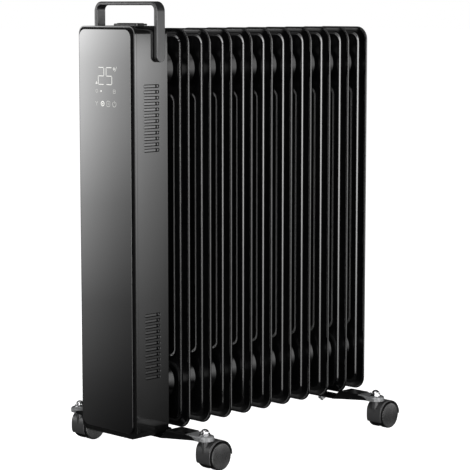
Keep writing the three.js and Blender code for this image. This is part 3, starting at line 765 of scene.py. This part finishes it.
def hexagon(r, corner, points=36):
    """A hexagon's outline of that corner radius, cut by a circle unless corner is 0."""
    flat = r * math.cos(math.pi / 6)
    outline = []
    for k in range(points):
        a = 2 * math.pi * k / points
        off = (a + math.pi / 6) % (math.pi / 3) - math.pi / 6
        reach = flat / math.cos(math.pi / 6 - abs(off))
        reach = min(reach, corner) if corner else reach
        outline.append((reach * math.cos(a), reach * math.sin(a)))
    return outline


def hex_nut(surface, place, r, start, end, chamfer=0.7):
    """A solid hexagon with both its faces chamfered round."""
    flat = r * math.cos(math.pi / 6)
    steps = ((start, flat), (start + chamfer * 0.5, (flat + r) / 2), (start + chamfer, 0),
             (end - chamfer, 0), (end - chamfer * 0.5, (flat + r) / 2), (end, flat))
    surface.loft([[place(u, v, t) for u, v in hexagon(r, corner)] for t, corner in steps])


def threaded(surface, place, r, start, end, pitch=1.25, sides=16):
    profile = [(0, start), (r - 0.7, start), (r - 0.35, start + 0.5)]
    t = start + 0.5
    while t < end - pitch:
        profile += [(r, t + pitch * 0.4), (r, t + pitch * 0.55), (r - 0.35, t + pitch)]
        t += pitch
    profile += [(r, end), (0, end)]
    surface.turned(profile, sides, place)


def make_u_bolt(row):
    low, high = box_mm(row + "_u_bolt")
    y = (low.y + high.y) / 2
    header, rod = HEADERS[0], 2.5
    radius = high.z - header - rod
    path = [(radius * math.cos(math.pi * k / 24), y, header + radius * math.sin(math.pi * k / 24))
            for k in range(25)]
    thread_top = 46
    path = [(radius, y, thread_top), (radius, y, header - 12)] + path + \
           [(-radius, y, header - 12), (-radius, y, thread_top)]
    surface = Surface()
    surface.swept(path, circle(rod, 14), (0, 1, 0))
    foot_low = box_mm(row + "_foot")[0].z
    for side in (-1, 1):
        place = along_z(side * radius, y)
        threaded(surface, place, rod, low.z, thread_top + 0.1)
        hex_nut(surface, place, 6, low.z + 3, foot_low - 1.2)
        surface.turned([(r, foot_low - t) for r, t in (
            (0, 1.2), (6.6, 1.2), (6.8, 1), (6.8, 0.35), (6.6, 0.15), (0, 0.15))], 28, place)
    finished("bent_" + row + "_u_bolt", surface, ZINC, stands_for=row + "_u_bolt", angle=35)


for row_name in ("front", "rear"):
    make_foot(row_name)
    make_u_bolt(row_name)


# ---------------------------------------------------------------- casters
TRAIL, AXLE = 18, 20


def make_tongue(corner, x, y, side):
    low, high = box_mm(corner + "_tongue")
    r, tail, steel, bend = 13.2, 26, 2, 2.4

    def outline(inset, back, z):
        reach = r - inset
        turn = [math.radians(-90 + 180 * k / 18) for k in range(19)]
        flat = [(-back, -reach), *[(reach * math.cos(a), reach * math.sin(a)) for a in turn], (-back, reach)]
        return [(x + side * u, y + v, z) for u, v in flat]

    surface = Surface()
    outside = [(0.3, low.z), (0, low.z + 0.3), (0, high.z - bend)]
    outside += [(bend - bend * math.cos(math.radians(a)), high.z - bend + bend * math.sin(math.radians(a)))
                for a in (22.5, 45, 67.5, 90)]
    outer = [surface.ring(outline(d, tail, z)) for d, z in outside]
    inner = [surface.ring(outline(d, tail - 1.5, z)) for d, z in
             ((steel - 0.3, low.z), (steel, low.z + 0.3), (steel, high.z - steel - 0.4),
              (steel + 0.4, high.z - steel))]
    for rings in (outer, inner):
        surface.wall(rings)
    surface.strip(outer[0], inner[0])
    hole = [(x + u, y + v) for u, v in circle(4.6, 20)]
    for ring, z in ((outer[-1], high.z), (inner[-1], high.z - steel)):
        surface.panel([surface.points[k][:2] for k in ring], [hole], lambda u, v, z=z: (u, v, z))
    walls = [surface.ring([(*p, z) for p in hole]) for z in (high.z - steel, high.z)]
    surface.strip(*walls)
    finished("pressed_" + corner + "_tongue", surface, ZINC, stands_for=corner + "_tongue",
             angle=35)


def make_dome_nut(corner, x, y):
    low, high = box_mm(corner + "_dome_nut")
    place = along_z(x, y)
    surface = Surface()
    surface.turned([(0, low.z - 0.25), (8.2, low.z - 0.25), (8.4, low.z - 0.05), (8.4, low.z + 0.35),
                    (8.2, low.z + 0.5), (0, low.z + 0.5)], 32, place)
    seat = low.z + 3.4
    hex_nut(surface, place, 7.6, low.z + 0.45, seat, 0.6)
    dome, centre = 6.2, low.z + 3.6
    profile = [(0, seat - 0.5), (dome, seat - 0.5), (dome, centre)]
    rise = high.z - centre
    profile += [(dome * math.cos(math.radians(a)), centre + rise * math.sin(math.radians(a)))
                for a in (12, 24, 36, 48, 60, 70, 80)]
    surface.turned(profile + [(0, high.z)], 32, place)
    finished(corner + "_acorn_nut", surface, CHROME, stands_for=corner + "_dome_nut", angle=35)


def make_hood(corner, x, y):
    """The caster's fender over both wheels, its web and its neck round the stem."""
    half, outer_r, swell = 13.8, 23.2, 2.7
    inside_r, web, boss = 22.3, 3.2, 5.0
    first, last, count = 0, 204, 46

    def radius(angle):
        """The fender's outer radius, which swells towards the stem."""
        if 90 < angle < 180:
            return outer_r + swell * math.sin(math.radians(2 * (angle - 90))) ** 2
        return outer_r

    surface = Surface()
    rings = []
    for k in range(count + 1):
        angle = first + (last - first) * k / count
        c, s = math.cos(math.radians(angle)), math.sin(math.radians(angle))
        r = radius(angle)
        section = [(-half, inside_r), (-half, r - 0.5), (-half + 0.1, r - 0.22), (-half + 0.3, r - 0.06),
                   (-half + 0.6, r), (half - 0.6, r), (half - 0.3, r - 0.06), (half - 0.1, r - 0.22),
                   (half, r - 0.5), (half, inside_r), (web, inside_r), (web, boss), (-web, boss),
                   (-web, inside_r)]
        rings.append([(x + u, y + TRAIL + v * c, AXLE + v * s) for u, v in section])
    surface.loft(rings)
    centre = along_x(x, y + TRAIL, AXLE)
    surface.turned([(0, -web), (boss + 0.2, -web), (boss + 0.2, web), (0, web)], 24, centre)
    stem_r, top = 5.3, box_mm(corner + "_caster_hood")[1].z
    slot_low, slot_half, slot_deep = 32.5, 1.25, 3.2
    surface.turned([(0, 24), (stem_r - 0.3, 24), (stem_r, 26), (stem_r, slot_low), (0, slot_low)], 28,
                   along_z(x, y))
    opening = math.asin(slot_half / stem_r)
    turn = [-math.pi / 2 + opening + (2 * math.pi - 2 * opening) * k / 28 for k in range(29)]
    notched = [(stem_r * math.cos(a), stem_r * math.sin(a)) for a in turn]
    notched += [(-slot_half, -stem_r + slot_deep), (slot_half, -stem_r + slot_deep)]
    surface.loft([[(x + u * k, y + v * k, z) for u, v in notched] for z, k in
                  ((slot_low, 1), (top - 0.5, 1), (top, 0.94))])
    finished(corner + "_fender", surface, FENDER, body=corner + "_caster", stands_for=corner + "_caster_hood",
             angle=35)


def make_wheel(corner, kind, x, y, side):
    facing = lambda u, v, t: (x + side * t, y + TRAIL + u, AXLE + v)
    tyre = Surface()
    tyre.turned([(2.4, 4.2), (18.8, 4.2), (19.6, 4.6), (20, 5.4), (20, 7.2), (19.75, 7.5), (19.75, 8.1),
                 (20, 8.4), (20, 9.4), (19.75, 9.7), (19.75, 10.3), (20, 10.6), (20, 13.2), (19.8, 13.8),
                 (19.4, 14.1), (18.8, 14.1), (18.65, 13.8), (2.4, 13.8), (2.4, 4.2)], 56, facing)
    wheel = corner + "_" + kind
    finished(wheel + "_tyre", tyre, RUBBER, body=wheel + "_roller", stands_for=wheel + "_wheel",
             angle=40)
    disc = Surface()
    disc.turned([(0, 13.9), (18.5, 13.9), (18.5, 14.5), (18.3, 14.65), (17, 14.85), (14.4, 15.26),
                 (10.8, 15.65), (7.2, 15.9), (3.6, 16.05), (0, 16.1)], 56, facing)
    finished(wheel + "_disc", disc, DISC, body=wheel + "_roller", angle=40)


for name in CORNERS:
    nut_low, nut_high = box_mm(name + "_dome_nut")
    nut_x, nut_y = (nut_low.x + nut_high.x) / 2, (nut_low.y + nut_high.y) / 2
    outward = 1 if nut_x > 0 else -1
    make_tongue(name, nut_x, nut_y, outward)
    make_dome_nut(name, nut_x, nut_y)
    make_hood(name, nut_x, nut_y)
    make_wheel(name, "outer", nut_x, nut_y, outward)
    make_wheel(name, "inner", nut_x, nut_y, -outward)


# ---------------------------------------------------------------- small parts
def make_plug():
    low, high = box_mm("oil_filler_plug")
    place = along_y(0, 0, HEADERS[0])
    surface = Surface()
    surface.turned([(0, low.y), (7.4, low.y), (7.6, low.y + 0.3), (7.6, low.y + 1.2), (7.3, low.y + 1.5),
                    (0, low.y + 1.5)], 32, place)
    hex_nut(surface, place, 6, low.y + 1.4, high.y, 0.7)
    finished("hex_filler_plug", surface, STEEL, stands_for="oil_filler_plug", angle=35)


make_plug()


# ---------------------------------------------------------------- stage and light
def staged(name, points, faces, look, **hidden):
    mesh = bpy.data.meshes.new(name)
    mesh.from_pydata(points, [], faces)
    mesh.materials.append(look)
    made = bpy.data.objects.new(name, mesh)
    bpy.context.scene.collection.objects.link(made)
    for flag, value in hidden.items():
        setattr(made, flag, value)
    return made


def floor_look():
    made, nodes, _ = blank_look("pale_floor")
    shader = nodes["Principled BSDF"]
    shader.inputs["Base Color"].default_value = (0.9, 0.9, 0.9, 1)
    shader.inputs["Roughness"].default_value = 0.9
    shader.inputs["Specular IOR Level"].default_value = 0
    shader.inputs["Emission Color"].default_value = (1, 1, 1, 1)
    shader.inputs["Emission Strength"].default_value = 1.0
    return made


def glow_look(name, strength, rise, spread):
    """Light that changes up and along a panel: (place in metres, share of strength) stops for each."""
    made, nodes, links = blank_look(name)
    nodes.clear()
    out = nodes.new("ShaderNodeOutputMaterial")
    light = nodes.new("ShaderNodeEmission")
    place = nodes.new("ShaderNodeTexCoord")
    apart = nodes.new("ShaderNodeSeparateXYZ")
    both = nodes.new("ShaderNodeMath")
    both.operation = "MULTIPLY"
    links.new(place.outputs["Object"], apart.inputs["Vector"])
    for k, (axis, stops) in enumerate((("Z", rise), ("X", spread))):
        low, high = stops[0][0], stops[-1][0]
        share = nodes.new("ShaderNodeMapRange")
        share.inputs["From Min"].default_value = low
        share.inputs["From Max"].default_value = high
        ramp = nodes.new("ShaderNodeValToRGB")
        fill_ramp(ramp, stops, low, high)
        links.new(apart.outputs[axis], share.inputs["Value"])
        links.new(share.outputs["Result"], ramp.inputs["Fac"])
        links.new(ramp.outputs["Color"], both.inputs[k])
    scale = nodes.new("ShaderNodeMath")
    scale.operation = "MULTIPLY"
    scale.inputs[1].default_value = strength
    links.new(both.outputs["Value"], scale.inputs[0])
    links.new(scale.outputs["Value"], light.inputs["Strength"])
    links.new(light.outputs["Emission"], out.inputs["Surface"])
    return made


def upright_panel(name, azimuth, distance, strength, rise, spread):
    """A glowing wall facing the heater from an azimuth: 0 is in front of the glass, 90 on its right."""
    a = math.radians(azimuth)
    left, right, low, high = spread[0][0], spread[-1][0], rise[0][0], rise[-1][0]
    made = staged(name, [(left, 0, low), (right, 0, low), (right, 0, high), (left, 0, high)], [(0, 1, 2, 3)],
                  glow_look(name, strength, rise, spread), visible_camera=False, visible_shadow=False)
    made.location = Vector((math.sin(a), -math.cos(a), 0)) * distance
    made.rotation_euler = Euler((0, 0, a))


def arched_light(name, stops, distance, half_width):
    """A glowing band overhead through (azimuth, elevation, strength) stops, seen from the heater."""
    ways = []
    for azimuth, elevation, _ in stops:
        a, e = math.radians(azimuth), math.radians(elevation)
        ways.append(Vector((math.sin(a) * math.cos(e), -math.cos(a) * math.cos(e), math.sin(e))))
    points, levels = [], []
    for k, way in enumerate(ways):
        along = ways[min(k + 1, len(ways) - 1)] - ways[max(k - 1, 0)]
        across = way.cross(along).normalized() * half_width
        points += [way * distance - across, way * distance + across]
        levels += [stops[k][2]] * 2
    faces = [(2 * k, 2 * k + 1, 2 * k + 3, 2 * k + 2) for k in range(len(ways) - 1)]
    look, nodes, links = blank_look(name)
    nodes.clear()
    level = nodes.new("ShaderNodeAttribute")
    level.attribute_name = "level"
    light, out = nodes.new("ShaderNodeEmission"), nodes.new("ShaderNodeOutputMaterial")
    links.new(level.outputs["Fac"], light.inputs["Strength"])
    links.new(light.outputs["Emission"], out.inputs["Surface"])
    made = staged(name, points, faces, look, visible_camera=False, visible_shadow=False)
    made.data.attributes.new("level", "FLOAT", "POINT").data.foreach_set("value", levels)
    made.location = (0, 0, 0.35)


FLOOR = 40
staged("floor", [(-FLOOR, -FLOOR, 0), (FLOOR, -FLOOR, 0), (FLOOR, FLOOR, 0), (-FLOOR, FLOOR, 0)],
       [(0, 1, 2, 3)], floor_look(), visible_glossy=False, visible_diffuse=False, visible_shadow=False)
# Each panel: azimuth, distance, strength, then its light up and along the panel.
PANELS = {
    # What the glass mirrors from the camera: bright at the top and dark at the floor.
    "light_front_left": (-45, 2.0, 5.0, (
        (-1.15, 0), (-0.95, 0.07), (-0.55, 0.025), (-0.42, 0.01), (-0.304, 0.031), (-0.255, 0.044),
        (-0.063, 0.113), (0.178, 0.31), (0.371, 0.58), (0.516, 0.74), (0.6, 1), (0.68, 1), (0.8, 0.15),
        (1.2, 0)), (
        (-0.35, 0), (-0.15, 0.9), (0.008, 0.95), (0.05, 0.7), (0.09, 0.51), (0.129, 0.38), (0.25, 0.16),
        (0.45, 0.04), (0.6, 0))),
    # What the casing's side mirrors from the camera.
    "light_rear_right": (135, 2.0, 3.5, (
        (-1.2, 0), (-0.95, 0.22), (-0.6, 0.06), (-0.48, 0.03), (-0.406, 0.042), (-0.304, 0.084), (-0.1, 0.2),
        (0.154, 0.44), (0.409, 0.76), (0.5, 1), (0.555, 1), (0.6, 0.2), (0.7, 0.1), (1.4, 0)), (
        (-0.8, 0), (-0.5, 1), (-0.312, 1), (-0.27, 0.66), (-0.235, 0.46), (-0.15, 0.3), (0, 0.35),
        (0.15, 0.9), (0.6, 0.9), (0.9, 0))),
    # The bright lines on the fins' hems and beads, and the flares of their hubs.
    "light_camera_side": (38, 4.0, 6.6, (
        (-1.6, 0), (-1.2, 0.12), (-0.7, 0.3), (-0.41, 0.5), (-0.05, 0.8), (0.3, 1), (1.2, 1), (1.8, 0.6)), (
        (-0.7, 0), (-0.5, 1), (0.4, 1), (0.75, 0))),
    "light_right_soft": (66, 3.0, 1.1, (
        (-2.6, 0), (-1.5, 0.12), (-0.6, 0.45), (0.3, 1), (2.0, 1), (5.0, 0)), (
        (-1.3, 0), (-1.0, 1), (0.9, 1), (1.2, 0))),
    "light_right_strip": (92, 2.0, 3.6, (
        (-1.2, 0), (-0.6, 0.8), (0, 1), (1.2, 1), (1.5, 0)), (
        (-0.42, 0), (-0.25, 1), (0.25, 1), (0.42, 0))),
    "light_front_soft": (-3, 3.0, 1.1, (
        (-0.5, 0), (-0.2, 0.12), (0.1, 0.28), (0.5, 0.8), (0.9, 1), (1.5, 0)), (
        (-0.5, 0), (-0.15, 1), (0.1, 0.8), (0.5, 0))),
    "light_left_strip": (-76, 2.0, 1.5, (
        (-0.5, 0), (-0.25, 1), (1.2, 1), (1.5, 0)), (
        (-0.2, 0), (-0.1, 1), (0.1, 1), (0.2, 0))),
}
for panel_name, panel in PANELS.items():
    upright_panel(panel_name, *panel)
ARCH = ((31, 16, 6), (27, 27, 6), (6, 46, 3), (-35, 54, 1.0), (-72, 43, 0.5))
arched_light("light_overhead_arch", ARCH, 3.0, 0.32)
key_data = bpy.data.lights.new("overhead", "AREA")
key_data.shape = "RECTANGLE"
key_data.size, key_data.size_y = 2.0, 2.0
key_data.energy = 6
key = bpy.data.objects.new("overhead", key_data)
key.location = (0.2, -0.4, 2.4)
bpy.context.scene.collection.objects.link(key)

world = bpy.data.worlds.new("studio")
bpy.context.scene.world = world
world.use_nodes = True
world_nodes, world_links = world.node_tree.nodes, world.node_tree.links
background = world_nodes["Background"]
heading = world_nodes.new("ShaderNodeTexCoord")
parts = world_nodes.new("ShaderNodeSeparateXYZ")
world_links.new(heading.outputs["Generated"], parts.inputs["Vector"])
height = world_nodes.new("ShaderNodeMapRange")
height.inputs["From Min"].default_value = -1
sky = world_nodes.new("ShaderNodeValToRGB")
# The sky's grey from straight down (-1) to straight up (1).
SKY = ((-1, 0.03), (-0.42, 0.03), (-0.25, 0.018), (0.3, 0.018), (0.8, 0.05))
fill_ramp(sky, SKY, -1, 1)
world_links.new(parts.outputs["Z"], height.inputs["Value"])
world_links.new(height.outputs["Result"], sky.inputs["Fac"])
world_links.new(sky.outputs["Color"], background.inputs["Color"])
backdrop = world_nodes.new("ShaderNodeBackground")
backdrop.inputs["Color"].default_value = (1, 1, 1, 1)
ray = world_nodes.new("ShaderNodeLightPath")
choose = world_nodes.new("ShaderNodeMixShader")
world_links.new(ray.outputs["Is Camera Ray"], choose.inputs["Fac"])
world_links.new(background.outputs["Background"], choose.inputs[1])
world_links.new(backdrop.outputs["Background"], choose.inputs[2])
world_links.new(choose.outputs["Shader"], world_nodes["World Output"].inputs["Surface"])
bpy.context.scene.view_settings.view_transform = "Standard"
bpy.context.scene.view_settings.look = "None"

bpy.context.view_layer.update()
